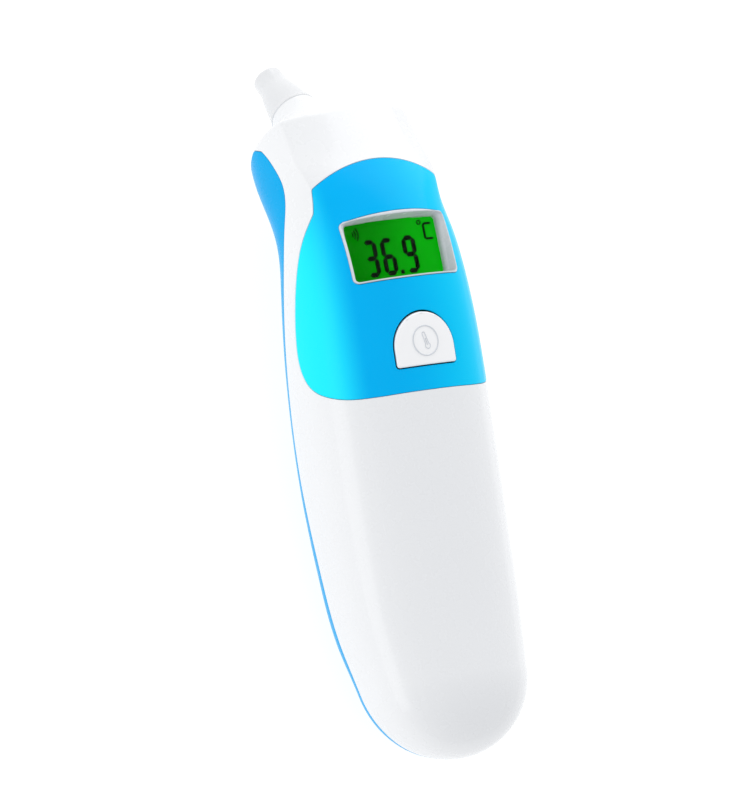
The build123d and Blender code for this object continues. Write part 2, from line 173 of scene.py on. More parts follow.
def section(y, v, inset=0.0):
    """x and z of the body's skin at station y and girth coordinate v."""
    level, half, height, depth, ridge, share = section_sizes(y, inset)
    p = BODY_POWER
    edge_x = half * share
    sag = crown_sag(y, edge_x)
    f = np.clip(v / RIDGE_V, 0, 1)
    oval = height * (1 - (share * f) ** p) ** (1 / p)
    front = (edge_x * f, level + oval + (height - sag * f ** 2 - oval) * ridge)
    s = 1 - np.clip((v - RIDGE_V) / (SIDE_V - RIDGE_V), 0, 1)
    edge = (1 - share ** p) ** (1 / p)
    side_x = half * (1 - (edge * s) ** p) ** (1 / p)
    wall_x = half - (half - edge_x) * s ** 2
    side_z = height * edge * s
    wall_z = (height - sag) * s
    side = (side_x + (wall_x - side_x) * ridge, level + side_z + (wall_z - side_z) * ridge)
    a = np.clip((v - SIDE_V) / (BACK_V - SIDE_V), 0, 1) * math.pi / 2
    rear = (half * np.abs(np.cos(a)) ** (2 / p), level - depth * np.sin(a) ** (2 / p))
    rear = (np.where(v >= BACK_V, 0.0, rear[0]), rear[1])
    x = np.where(v <= RIDGE_V, front[0], np.where(v <= SIDE_V, side[0], rear[0]))
    z = np.where(v <= RIDGE_V, front[1], np.where(v <= SIDE_V, side[1], rear[1]))
    return x, z


def head_circle():
    (ay, az), (by, bz), (cy, cz) = HEAD_ARC
    system = np.array([[by - ay, bz - az], [cy - ay, cz - az]])
    right = np.array([by ** 2 - ay ** 2 + bz ** 2 - az ** 2, cy ** 2 - ay ** 2 + cz ** 2 - az ** 2]) / 2
    centre = np.linalg.solve(system, right)
    return centre, math.dist(centre, HEAD_ARC[0])


HEAD_CENTRE, HEAD_RADIUS = head_circle()
V_SAMPLES = np.linspace(0, BACK_V, 497)


def head_ends(inset):
    """Station y at which each girth line meets the head's closing curve."""
    low, high = np.full_like(V_SAMPLES, 115.0), np.full_like(V_SAMPLES, 143.5)
    for _ in range(40):
        middle = (low + high) / 2
        z = section(middle, V_SAMPLES, inset)[1]
        drop = np.clip(HEAD_RADIUS ** 2 - (z - HEAD_CENTRE[1]) ** 2, 0, None)
        inside = middle < HEAD_CENTRE[0] + np.sqrt(drop) - inset
        low, high = np.where(inside, middle, low), np.where(inside, high, middle)
    return (low + high) / 2


END_TABLES = {}


def end_at(v, inset):
    if inset not in END_TABLES:
        END_TABLES[inset] = head_ends(inset)
    return np.interp(v, V_SAMPLES, END_TABLES[inset])


def core(u, v, inset):
    """Skin without softened edges: body, then the head's closure sweeping up to the probe's ring."""
    end = end_at(v, inset)
    along = inset + u * (HEAD_U - inset) / HEAD_U
    y = np.where(u <= HEAD_U, along, HEAD_U + (end - HEAD_U) * np.clip((u - HEAD_U) / (RIM_U - HEAD_U), 0, 1))
    x, z = section(y, v, inset)
    rim = np.stack([x, y, z], -1)
    from_ring = rim - PROBE_RING
    angle = np.arctan2(x, from_ring @ PROBE_FRONT)
    radial = np.sin(angle)[..., None] * np.array([1.0, 0, 0]) + np.cos(angle)[..., None] * PROBE_FRONT
    ring = PROBE_RING + radial * (RING_RADIUS - inset * 0.45)
    aim = PROBE_RING - 9.0 * PROBE_DIR
    first = rim + 0.45 * (aim - rim)
    second = ring - PROBE_DIR * 6.5 + radial * 0.4
    s = np.clip((u - RIM_U) / (RING_U - RIM_U), 0, 1)[..., None]
    close = (1 - s) ** 3 * rim + 3 * s * (1 - s) ** 2 * first + 3 * s * s * (1 - s) * second + s ** 3 * ring
    return np.where(s > 0, close, rim)


def soften(function, value, at, reach):
    """Rounds the crease of a function of one coordinate with a quadratic curve across it."""
    t = np.clip((value - at + reach) / (2 * reach), 0, 1)[..., None]
    near = np.abs(value - at) < reach
    low = np.full_like(value, at - reach)
    middle = np.full_like(value, at)
    high = np.full_like(value, at + reach)
    bent = (1 - t) ** 2 * function(low) + 2 * t * (1 - t) * function(middle) + t * t * function(high)
    return np.where(near[..., None], bent, function(value))


def surface(u, v, inset=0.0):
    u, v = np.asarray(u, float), np.asarray(v, float)

    def ridge_soft(at_u):
        return soften(lambda at_v: core(at_u, at_v, inset), v, RIDGE_V, 0.9)

    return soften(ridge_soft, u, RIM_U, 1.1)


def normals_at(u, v, inset=0.0):
    step = 0.04
    along = surface(np.clip(u + step, 0, RING_U), v, inset) - surface(np.clip(u - step, 0.01, RING_U), v, inset)
    around = surface(u, np.clip(v + step, 0, BACK_V), inset) - surface(u, np.clip(v - step, 0, BACK_V), inset)
    normal = np.cross(around, along)
    size = np.linalg.norm(normal, axis=-1, keepdims=True)
    normal = normal / np.where(size < 1e-12, 1, size)
    normal[(v <= 1e-6) | (v >= BACK_V - 1e-6), 0] = 0
    normal[u < 0.02] = (0, -1, 0)
    return normal / np.linalg.norm(normal, axis=-1, keepdims=True)


# ---- outlines in the skin's coordinates
def u_of(y, v):
    y = np.asarray(y, float)
    return np.where(y <= HEAD_U, y, HEAD_U + (RIM_U - HEAD_U) * (y - HEAD_U) / (end_at(v, 0.0) - HEAD_U))


def v_from_z(y, z):
    """Girth coordinate at which the section at y has height z."""
    z_row = section(np.full_like(V_SAMPLES, y), V_SAMPLES)[1]
    return float(np.interp(-z, -z_row, V_SAMPLES))


def v_from_x(y, x, rear=False):
    level, half, height, depth, ridge, share = section_sizes(np.asarray(y, float), 0.0)
    if rear:
        a = np.arccos(np.clip(x / half, 0, 1) ** (BODY_POWER / 2))
        return float(SIDE_V + (BACK_V - SIDE_V) * a / (math.pi / 2))
    return float(RIDGE_V * x / (half * share))


def resampled(points, step):
    """Points evenly spaced along a polyline, its corners kept only at the ends."""
    points = np.asarray(points, float)
    lengths = np.concatenate([[0], np.cumsum(np.linalg.norm(np.diff(points, axis=0), axis=1))])
    count = max(int(round(lengths[-1] / step)), 1) + 1
    at = np.linspace(0, lengths[-1], count)
    return np.column_stack([np.interp(at, lengths, points[:, i]) for i in range(2)])


def smooth_path(points, count=200):
    """Smooth curve through a few points of a plane."""
    points = np.asarray(points, float)
    lengths = np.concatenate([[0], np.cumsum(np.linalg.norm(np.diff(points, axis=0), axis=1))])
    at = np.linspace(0, lengths[-1], count)
    return np.column_stack([spline(lengths, points[:, i])(at) for i in range(2)])


def corner_arc(centre, radius, start, end, count=7):
    angles = np.radians(np.linspace(start, end, count))
    return [(centre[0] + radius * math.cos(a), centre[1] + radius * math.sin(a)) for a in angles]


seam_z = spline([y for y, z in SEAM_POINTS], [z for y, z in SEAM_POINTS])


def seam_line():
    ys = np.linspace(0.2, 3.0, 400)
    bottom = section(ys, np.full_like(ys, BACK_V))[1]
    start = float(np.interp(0, (seam_z(ys) - bottom), ys))
    rows = start + np.concatenate([np.linspace(0.02, 1.0, 14) ** 2 * 4, np.arange(4.8, 131 - start, 0.8)])
    points = [(start, BACK_V)]
    for y in rows:
        v = v_from_z(y, float(seam_z(y)))
        points.append((float(u_of(y, v)), v))
    end, before = np.array(points[-1]), np.array(points[-3])
    ahead = (end - before) / np.linalg.norm(end - before)
    bend = [end, end + ahead * 10, np.array([150.0, 47.0]), np.array([149.0, BACK_V])]
    for t in np.linspace(0, 1, 44)[1:]:
        point = sum(w * b for w, b in zip(
            ((1 - t) ** 3, 3 * t * (1 - t) ** 2, 3 * t * t * (1 - t), t ** 3), bend))
        points.append(tuple(point))
    return np.array(points)


def panel_line():
    bottom = [(PANEL_FOOT, v) for v in np.linspace(0, v_from_z(PANEL_FOOT, 35.5), 12)]
    edge = smooth_path([(PANEL_FOOT, 35.5), (78.0, 32.5), (79.4, 28.6), (82.6, 24.0), (87.5, 21.6), (94.0, 21.7),
                        (102.0, 23.4), (113.0, 27.3), (119.0, 30.3)], 120)
    side = [(y, v_from_z(y, z)) for y, z in edge]
    corner = (float(u_of(124.0, RIDGE_V)), RIDGE_V)
    radius = (PANEL_TOP_HALF ** 2 + PANEL_TOP_RISE ** 2) / (2 * PANEL_TOP_RISE)
    centre = PANEL_TOP - radius
    top = []
    for t in np.linspace(math.asin(16.2 / radius), 0, 50):
        x, y = radius * math.sin(t), centre + radius * math.cos(t)
        v = min(v_from_x(y, x), RIDGE_V)
        top.append((float(u_of(y, v)), v))
    top[0] = corner
    top[-1] = (top[-1][0], 0.0)
    lower = resampled(bottom + side[1:] + [corner], OUTLINE_STEP)
    return np.vstack([lower, resampled(top, OUTLINE_STEP)[1:]])


def front_line(points):
    """Outline drawn on the front as (x, y), in skin coordinates."""
    line = [(y, v_from_x(y, max(x, 0.0))) for x, y in points]
    return np.array(line)


def bezel_points(grow=0.0, radius=1.3):
    """Right half of the display frame's outline, from the bottom's middle to the bowed top's."""
    half_x, half_y = BEZEL_HALF[0] + grow, BEZEL_HALF[1] + grow
    low, high = LCD_Y - half_y, LCD_Y + half_y
    points = [(0.0, low)] + [(x, low) for x in np.linspace(1, half_x - radius, 12)]
    points += corner_arc((half_x - radius, low + radius), radius, -90, 0)[1:]
    points += [(half_x, y) for y in np.linspace(low + radius, high - radius, 12)[1:-1]]
    points += corner_arc((half_x - radius, high - radius), radius, 0, 80)
    x0, y0 = points[-1]
    for x in np.linspace(x0, 0, 18)[1:]:
        points.append((x, y0 + (high + BEZEL_BOW - y0) * (1 - (x / x0) ** 2)))
    return points


def button_points(grow=0.0, radius=0.9):
    half_x, low = BUTTON_R + grow, BUTTON_Y - grow
    spring = BUTTON_Y + BUTTON_STRAIGHT
    points = [(x, low) for x in np.linspace(0, half_x - radius, 12)]
    points += corner_arc((half_x - radius, low + radius), radius, -90, 0)[1:]
    points += [(half_x, y) for y in np.linspace(low + radius, spring, 7)[1:]]
    points += corner_arc((0, spring), half_x, 0, 90, 26)[1:]
    points[-1] = (0.0, points[-1][1])
    return points


def door_line(seam):
    """Side of the battery door from its upper edge down to the seam."""
    points = [(DOOR_TOP, v) for v in np.linspace(BACK_V, v_from_x(DOOR_TOP, DOOR_X, True), 14)[:-1]]
    for y in np.arange(DOOR_TOP, 4.0, -0.8):
        v = v_from_x(y, DOOR_X, True)
        seam_v = float(np.interp(y, seam[:150, 0], seam[:150, 1]))
        if v < seam_v + 0.5:
            break
        points.append((y, v))
    last = np.array(points[-1])
    meet = seam[np.argmin(np.linalg.norm(seam - last + np.array([0.8, 0.0]), axis=1))]
    return np.vstack([points, [meet]])


def screw_line(x, y, radius):
    points = []
    for a in np.radians(np.arange(0, 360, 12)):
        py, px = y + radius * math.sin(a), x + radius * math.cos(a)
        points.append((py, v_from_x(py, px, True)))
    return np.array(points + [points[0]])


def inside(points, polygon):
    """Whether each point lies in a closed polygon."""
    x, y = points.T
    result = np.zeros(len(points), bool)
    for (x0, y0), (x1, y1) in zip(polygon, np.roll(polygon, -1, axis=0)):
        if y0 == y1:
            continue
        crossing = ((y0 > y) != (y1 > y)) & (x < (x1 - x0) * (y - y0) / (y1 - y0) + x0)
        result ^= crossing
    return result


GRIPS = (55.55, 58.15, 60.75, 63.35)
GRIP_HALF, GRIP_DEPTH, GRIP_X = 0.55, 0.5, 7.0
GRIP_V = v_from_x(59.0, 8.4, True)


def grip_depth(u, x):
    """Depth of the finger grooves across the battery door."""
    near = np.min(np.abs(u[:, None] - np.array(GRIPS)), axis=1)
    return GRIP_DEPTH * (1 - smooth_step(near, GRIP_HALF - 0.3, GRIP_HALF + 0.15)) * (
        1 - smooth_step(np.abs(x), GRIP_X - 0.5, GRIP_X + 0.3))


def grooved(u, v):
    points = surface(u, v)
    return points - normals_at(u, v) * grip_depth(u, points[:, 0])[:, None]


SEAM = seam_line()
PANEL = panel_line()
BEZEL = front_line(bezel_points(0.05))
BUTTON = front_line(button_points(0.12))
DOOR = door_line(SEAM)
SCREW_AT = (10.0, 78.4)
SCREW = screw_line(*SCREW_AT, 2.2)

REAR_REGION = SEAM
meet_index = int(np.argmin(np.linalg.norm(SEAM - DOOR[-1], axis=1)))
DOOR_REGION = np.vstack([DOOR, SEAM[:meet_index + 1][::-1]])


def front_region(line):
    return np.vstack([line, [(line[-1][0], 0.0), (line[0][0], 0.0)]])


# ---- triangles of the right half of the skin
def skin_triangles():
    lines = [SEAM, PANEL, BEZEL, BUTTON, DOOR, SCREW]
    u_rows = np.concatenate([
        np.linspace(0, 1, 9) ** 1.6 * 3.0, np.arange(4.0, RIM_U - 1.4, 1.0),
        RIM_U + np.linspace(-1.3, 1.3, 9), np.arange(RIM_U + 2.2, RING_U, 1.0), [RING_U]])
    v_rows = np.concatenate([
        np.linspace(0, RIDGE_V - 1.2, 17), RIDGE_V + np.linspace(-0.9, 0.9, 7),
        np.linspace(RIDGE_V + 1.3, BACK_V, 44)])
    grid = np.array([(u, v) for u in u_rows for v in v_rows])
    grips = np.array([(u, v) for u in np.arange(GRIPS[0] - 1.0, GRIPS[-1] + 1.05, 0.2)
                      for v in np.arange(GRIP_V, BACK_V + 0.1, 0.75)])
    beside = (grid[:, 0] < GRIPS[0] - 1.3) | (grid[:, 0] > GRIPS[-1] + 1.3) | (grid[:, 1] < GRIP_V - 0.4)
    grid = np.vstack([grid[beside], np.minimum(grips, (RING_U, BACK_V))])
    marks = np.vstack(lines)
    keep = np.ones(len(grid), bool)
    for start in range(0, len(grid), 2000):
        block = grid[start:start + 2000]
        distance = np.linalg.norm((block[:, None] - marks[None]) * (1, 0.9), axis=2).min(1)
        keep[start:start + 2000] = distance > 0.62
    border = (grid[:, 0] == 0) | (grid[:, 0] == RING_U)
    keep |= border
    points = [tuple(p) for p in grid[keep]]
    edges = []
    for line in lines:
        first = len(points)
        points += [tuple(p) for p in line]
        edges += [(first + i, first + i + 1) for i in range(len(line) - 1)]
    made = delaunay_2d_cdt([Vector(p) for p in points], edges, [], 0, 1e-5)
    verts = np.array([tuple(v) for v in made[0]])
    faces = np.array([tuple(f) for f in made[2] if len(f) == 3])
    a, b, c = verts[faces[:, 0]], verts[faces[:, 1]], verts[faces[:, 2]]
    area = (b - a)[:, 0] * (c - a)[:, 1] - (b - a)[:, 1] * (c - a)[:, 0]
    faces = faces[np.abs(area) > 1e-7]
    area = area[np.abs(area) > 1e-7]
    faces[area > 0] = faces[area > 0][:, ::-1]
    return verts, faces


SKIN_UV, SKIN_FACES = skin_triangles()
CENTRES = SKIN_UV[SKIN_FACES].mean(1)
in_rear = inside(CENTRES, REAR_REGION)
in_door = inside(CENTRES, DOOR_REGION)
in_screw = inside(CENTRES, SCREW)
in_panel = inside(CENTRES, front_region(PANEL))
in_window = inside(CENTRES, front_region(BEZEL))
in_button = inside(CENTRES, front_region(BUTTON))


# ---- meshes
def merged(points, faces, normals=None, places=5):
    """Joins points that coincide and drops faces that collapse."""
    keys = np.round(points, places)
    unique, first, index = np.unique(keys, axis=0, return_index=True, return_inverse=True)
    index = index.reshape(-1)
    new_faces = []
    for face in faces:
        ring = []
        for i in face:
            k = int(index[i])
            if k not in ring:
                ring.append(k)
        if len(ring) > 2:
            new_faces.append(tuple(ring))
    if normals is None:
        return points[first], new_faces, None
    total = np.zeros((len(unique), 3))
    np.add.at(total, index, normals)
    size = np.linalg.norm(total, axis=1, keepdims=True)
    return points[first], new_faces, total / np.where(size < 1e-9, 1, size)


def mesh_object(name, points, faces, normals=None, smooth=True):
    """A mesh of design points (mm), placed in the resting pose in metres."""
    mesh = bpy.data.meshes.new(name)
    mesh.from_pydata([tuple(p) for p in to_row(points)], [], [tuple(int(i) for i in f) for f in faces])
    mesh.validate(clean_customdata=False)
    mesh.shade_smooth() if smooth else mesh.shade_flat()
    if normals is not None:
        mesh.normals_split_custom_set_from_vertices([tuple(n) for n in turned(normals)])
    mesh.update()
    made = bpy.data.objects.new(name, mesh)
    bpy.context.scene.collection.objects.link(made)
    return made


def skin_part(chosen, outside, thickness, gap=0.04, radius=0.14, grips=False):
    """A closed moulding cut from the skin: its triangles, an inner wall and rounded rims."""
    faces = SKIN_FACES[chosen]
    used, faces = np.unique(faces, return_inverse=True)
    faces = faces.reshape(-1, 3)
    uv = SKIN_UV[used]
    u, v = uv.T
    outer = surface(u, v, outside)
    normal = normals_at(u, v, max(outside, 0.0))
    inner = surface(u, v, outside + thickness)
    if grips:
        outer = grooved(u, v)
        step = 0.05
        along = grooved(np.clip(u + step, 0, RING_U), v) - grooved(np.clip(u - step, 0.01, RING_U), v)
        around = grooved(u, np.clip(v + step, 0, BACK_V)) - grooved(u, np.clip(v - step, 0, BACK_V))
        cut = np.cross(around, along)
        size = np.linalg.norm(cut, axis=1)
        deep = (grip_depth(u, outer[:, 0]) > 1e-4) & (size > 1e-9) & (v < BACK_V - 1e-6)
        normal[deep] = cut[deep] / size[deep][:, None]
    count = {}
    for face in faces:
        for i in range(3):
            a, b = int(face[i]), int(face[(i + 1) % 3])
            count[(a, b)] = True
    borders = []
    for a, b in count:
        if (b, a) in count:
            continue
        on_front = v[a] < 1e-4 and v[b] < 1e-4
        on_back = v[a] > BACK_V - 1e-4 and v[b] > BACK_V - 1e-4
        on_pole = u[a] < 1e-4 and u[b] < 1e-4
        if not (on_front or on_back or on_pole):
            borders.append((a, b))
    inward = {}
    for a, b in borders:
        along = outer[b] - outer[a]
        size = np.linalg.norm(along)
        if size < 1e-9:
            continue
        for i in (a, b):
            inward.setdefault(i, []).append(np.cross(normal[i], along / size))
    rims = sorted(inward)
    rim_index = {i: k for k, i in enumerate(rims)}
    move = np.zeros((len(rims), 3))
    for i, k in rim_index.items():
        both = inward[i]
        total = sum(both)
        total = total / np.linalg.norm(total)
        if v[i] < 1e-4 or v[i] > BACK_V - 1e-4:
            total[0] = 0
            total = total / np.linalg.norm(total)
        opening = max(float(np.dot(total, both[0])), 0.5)
        move[k] = total / opening
    edge = outer[rims]
    edge_normal = normal[rims]
    rows, row_normals = [], []
    for angle in (0, 30, 60, 90):
        s, c = math.sin(math.radians(angle)), math.cos(math.radians(angle))
        rows.append(edge + move * (gap + radius * (1 - s)) - edge_normal * radius * (1 - c))
        side = edge_normal * c - move * s
        row_normals.append(side / np.linalg.norm(side, axis=1, keepdims=True))
    outer = outer.copy()
    outer[rims] = rows[0]
    inner = inner.copy()
    inner[rims] += move * gap
    base = len(outer)
    parts = [outer, inner] + rows[1:]
    shades = [normal, -normal] + row_normals[1:]
    points, all_normals = np.vstack(parts), np.vstack(shades)
    made = [tuple(f) for f in faces] + [tuple(f[::-1] + base) for f in faces]
    starts = [2 * base + k * len(rims) for k in range(3)]
    for a, b in borders:
        if a not in rim_index or b not in rim_index:
            continue
        ka, kb = rim_index[a], rim_index[b]
        chain_a = [a] + [start + ka for start in starts] + [a + base]
        chain_b = [b] + [start + kb for start in starts] + [b + base]
        for i in range(4):
            made.append((chain_b[i], chain_a[i], chain_a[i + 1], chain_b[i + 1]))
    mirror = points * (-1, 1, 1)
    total = len(points)
    faces_all = made + [tuple(i + total for i in reversed(face)) for face in made]
    points = np.vstack([points, mirror])
    all_normals = np.vstack([all_normals, all_normals * (-1, 1, 1)])
    return merged(points, faces_all, all_normals)


def lathe(profile, steps=64):
    """Closed solid of revolution about the probe's axis from (radius, height) points."""
    rings = []
    for radius, height in profile:
        angles = np.linspace(0, 2 * math.pi, steps, endpoint=False)
        ring = (PROBE_RING + PROBE_DIR * height + radius * (
            np.sin(angles)[:, None] * np.array([1.0, 0, 0]) + np.cos(angles)[:, None] * PROBE_FRONT))
        rings.append(ring)
    points = np.vstack(rings)
    faces = []
    count = len(profile)
    for i in range(count):
        j = (i + 1) % count
        for k in range(steps):
            n = (k + 1) % steps
            faces.append((i * steps + k, i * steps + n, j * steps + n, j * steps + k))
    points, faces, _ = merged(points, faces)
    return points, faces


def loops_solid(loops, closed=True):
    """Faces between matching loops of points; a closed stack joins its last loop to its first."""
    count = len(loops[0])
    points = np.vstack(loops)
    faces = []
    for i in range(len(loops) if closed else len(loops) - 1):
        j = (i + 1) % len(loops)
        for k in range(count):
            n = (k + 1) % count
            faces.append((i * count + k, i * count + n, j * count + n, j * count + k))
    return points, faces


def sharpened(made, degrees):
    """Smooth shading that keeps edges sharper than the given angle."""
    made.data.shade_smooth()
    made.data.set_sharp_from_angle(angle=math.radians(degrees))
    return made


# ---- materials
def new_group(name, inputs, outputs):
    group = bpy.data.node_groups.new(name, "ShaderNodeTree")
    for label, kind, value in inputs:
        socket = group.interface.new_socket(label, in_out="INPUT", socket_type=kind)
        socket.default_value = value
    for label, kind in outputs:
        group.interface.new_socket(label, in_out="OUTPUT", socket_type=kind)
    return group


def noise(tree, coords, scale, detail=4.0, roughness=0.55):
    node = tree.nodes.new("ShaderNodeTexNoise")
    node.inputs["Scale"].default_value = scale
    node.inputs["Detail"].default_value = detail
    node.inputs["Roughness"].default_value = roughness
    tree.links.new(coords, node.inputs["Vector"])
    return node.outputs["Fac"]


def to_range(tree, value, low, high, out_low, out_high):
    node = tree.nodes.new("ShaderNodeMapRange")
    node.interpolation_type = "SMOOTHSTEP"
    for label, number in (("From Min", low), ("From Max", high), ("To Min", out_low), ("To Max", out_high)):
        node.inputs[label].default_value = number
    tree.links.new(value, node.inputs["Value"])
    return node.outputs["Result"]


def mixed_colour(tree, factor, first, second):
    node = tree.nodes.new("ShaderNodeMix")
    node.data_type = "RGBA"
    tree.links.new(factor, node.inputs["Factor"])
    for socket, value in ((node.inputs["A"], first), (node.inputs["B"], second)):
        if isinstance(value, (tuple, list)):
            socket.default_value = value
        else:
            tree.links.new(value, socket)
    return node.outputs["Result"]


def arithmetic(tree, operation, first, second):
    node = tree.nodes.new("ShaderNodeMath")
    node.operation = operation
    for socket, value in zip(node.inputs, (first, second)):
        if isinstance(value, (int, float)):
            socket.default_value = value
        else:
            tree.links.new(value, socket)
    return node.outputs["Value"]


def moulded_group():
    """Moulded plastic: faint flow marks in the colour, uneven gloss, fine skin, dust and hairline rubs."""
    tree = new_group("moulded plastic", [
        ("Colour", "NodeSocketColor", (1, 1, 1, 1)),
        ("Deep colour", "NodeSocketColor", (0.9, 0.9, 0.9, 1)),
        ("Smooth", "NodeSocketFloat", 0.2),
        ("Rough", "NodeSocketFloat", 0.4),
        ("Grain", "NodeSocketFloat", 1.0),
        ("Dust", "NodeSocketFloat", 0.02),
        ("Rubs", "NodeSocketFloat", 0.03),
    ], [("Colour", "NodeSocketColor"), ("Roughness", "NodeSocketFloat"), ("Height", "NodeSocketFloat")])
    enter, leave = tree.nodes.new("NodeGroupInput"), tree.nodes.new("NodeGroupOutput")
    coords = tree.nodes.new("ShaderNodeTexCoord").outputs["Object"]
    flow = to_range(tree, noise(tree, coords, 55, 3), 0.3, 0.7, 0, 1)
    speck = to_range(tree, noise(tree, coords, 2600, 2), 0.66, 0.74, 0, 1)
    gloss = to_range(tree, noise(tree, coords, 240, 3), 0.25, 0.75, 0, 1)
    stretched = tree.nodes.new("ShaderNodeMapping")
    stretched.inputs["Scale"].default_value = (1.0, 0.12, 1.0)
    stretched.inputs["Rotation"].default_value = (0.0, 0.0, 0.35)
    tree.links.new(coords, stretched.inputs["Vector"])
    rubs = to_range(tree, noise(tree, stretched.outputs["Vector"], 1500, 2), 0.67, 0.72, 0, 1)
    colour = mixed_colour(tree, flow, enter.outputs["Colour"], enter.outputs["Deep colour"])
    dusty = arithmetic(tree, "MULTIPLY", speck, enter.outputs["Dust"])
    colour = mixed_colour(tree, dusty, colour, (0.62, 0.61, 0.58, 1))
    spread = arithmetic(tree, "SUBTRACT", enter.outputs["Rough"], enter.outputs["Smooth"])
    rough = arithmetic(tree, "ADD", arithmetic(tree, "MULTIPLY", gloss, spread), enter.outputs["Smooth"])
    rough = arithmetic(tree, "ADD", rough, arithmetic(tree, "MULTIPLY", rubs, enter.outputs["Rubs"]))
    rough = arithmetic(tree, "ADD", rough, dusty)
    peel = noise(tree, coords, 420, 2)
    grain = arithmetic(tree, "MULTIPLY", noise(tree, coords, 3800, 2), enter.outputs["Grain"])
    height = arithmetic(tree, "ADD", arithmetic(tree, "MULTIPLY", peel, 0.15), grain)
    tree.links.new(colour, leave.inputs["Colour"])
    tree.links.new(rough, leave.inputs["Roughness"])
    tree.links.new(height, leave.inputs["Height"])
    return tree


def metal_group():
    """Rolled or plated metal: fine lines, tarnish in patches."""
    tree = new_group("worked metal", [
        ("Colour", "NodeSocketColor", (0.7, 0.7, 0.7, 1)),
        ("Tarnish", "NodeSocketColor", (0.4, 0.38, 0.35, 1)),
    ], [("Colour", "NodeSocketColor"), ("Roughness", "NodeSocketFloat"), ("Height", "NodeSocketFloat")])
    enter, leave = tree.nodes.new("NodeGroupInput"), tree.nodes.new("NodeGroupOutput")
    coords = tree.nodes.new("ShaderNodeTexCoord").outputs["Object"]
    stretched = tree.nodes.new("ShaderNodeMapping")
    stretched.inputs["Scale"].default_value = (1.0, 0.08, 1.0)
    tree.links.new(coords, stretched.inputs["Vector"])
    lines = noise(tree, stretched.outputs["Vector"], 3000, 3)
    patches = to_range(tree, noise(tree, coords, 300, 4), 0.45, 0.75, 0, 0.7)
    tarnished = mixed_colour(tree, patches, enter.outputs["Colour"], enter.outputs["Tarnish"])
    tree.links.new(tarnished, leave.inputs["Colour"])
    dulled = arithmetic(tree, "MULTIPLY", patches, 0.25)
    rough = arithmetic(tree, "ADD", dulled, to_range(tree, lines, 0.3, 0.7, 0.22, 0.38))
    tree.links.new(rough, leave.inputs["Roughness"])
    tree.links.new(lines, leave.inputs["Height"])
    return tree


MOULDED, METAL = moulded_group(), metal_group()


def material(name):
    made = bpy.data.materials.new(name)
    made.use_nodes = True
    shader = next(n for n in made.node_tree.nodes if n.type == "BSDF_PRINCIPLED")
    return made, made.node_tree, shader


def finish_from(tree, shader, group, values, strength, depth):
    node = tree.nodes.new("ShaderNodeGroup")
    node.node_tree = group
    for label, value in values.items():
        node.inputs[label].default_value = value
    bump = tree.nodes.new("ShaderNodeBump")
    bump.inputs["Strength"].default_value = strength
    bump.inputs["Distance"].default_value = depth
    tree.links.new(node.outputs["Colour"], shader.inputs["Base Color"])
    tree.links.new(node.outputs["Roughness"], shader.inputs["Roughness"])
    tree.links.new(node.outputs["Height"], bump.inputs["Height"])
    tree.links.new(bump.outputs["Normal"], shader.inputs["Normal"])
    return node


def plastic(name, colour, deep, smooth, rough, grain=0.3, dust=0.03, coat=0.0, strength=0.018, light=0.0,
            shine=0.5):
    made, tree, shader = material(name)
    finish_from(tree, shader, MOULDED, {
        "Colour": (*colour, 1), "Deep colour": (*deep, 1), "Smooth": smooth, "Rough": rough, "Grain": grain,
        "Dust": dust}, strength, 0.0002)
    shader.inputs["Specular IOR Level"].default_value = shine
    shader.inputs["Coat Weight"].default_value = coat
    shader.inputs["Coat Roughness"].default_value = 0.08
    shader.inputs["Subsurface Weight"].default_value = light
    shader.inputs["Subsurface Radius"].default_value = (1.0, 0.9, 0.8)
    shader.inputs["Subsurface Scale"].default_value = 0.0015
    return made


def metal(name, colour, tarnish):
    made, tree, shader = material(name)
    finish_from(tree, shader, METAL, {"Colour": (*colour, 1), "Tarnish": (*tarnish, 1)}, 0.2, 0.0001)
    shader.inputs["Metallic"].default_value = 1.0
    return made


def clear(name, colour, smooth, rough, weight, index=1.45):
    made, tree, shader = material(name)
    finish_from(tree, shader, MOULDED, {
        "Colour": (*colour, 1), "Deep colour": tuple(c * 0.96 for c in colour) + (1,), "Smooth": smooth,
        "Rough": rough, "Grain": 0.0, "Dust": 0.0, "Rubs": 0.004}, 0.004, 0.0001)
    shader.inputs["Transmission Weight"].default_value = weight
    shader.inputs["IOR"].default_value = index
    return made


def backlit(name):
    """Display glass glowing from its backlight, with painted shade of the frame's wall darkening it towards its left
    edge, and the light guide's fine dots.
    """
    made, tree, shader = material(name)
    finish_from(tree, shader, MOULDED, {
        "Colour": (0.0, 0.10, 0.0, 1), "Deep colour": (0.0, 0.08, 0.0, 1), "Smooth": 0.12, "Rough": 0.2,
        "Grain": 0.0, "Dust": 0.0}, 0.02, 0.0001)
    shader.inputs["Specular IOR Level"].default_value = 0.04
    coords = tree.nodes.new("ShaderNodeTexCoord").outputs["Object"]
    split = tree.nodes.new("ShaderNodeSeparateXYZ")
    tree.links.new(coords, split.inputs["Vector"])
    # Painted shade: the glow darkens towards the display's left edge, where the frame's wall shades it.
    across = to_range(tree, split.outputs["X"], -0.012, 0.013, 0, 1)
    glow_with_painted_shade = mixed_colour(tree, across, (0.0, 0.16, 0.0, 1), (0.002, 0.46, 0.004, 1))
    patches = to_range(tree, noise(tree, coords, 130, 3), 0.3, 0.7, 0, 0.18)
    tree.links.new(mixed_colour(tree, patches, glow_with_painted_shade, (0.0, 0.10, 0.0, 1)), shader.inputs["Emission Color"])
    shader.inputs["Emission Strength"].default_value = 0.8
    return made


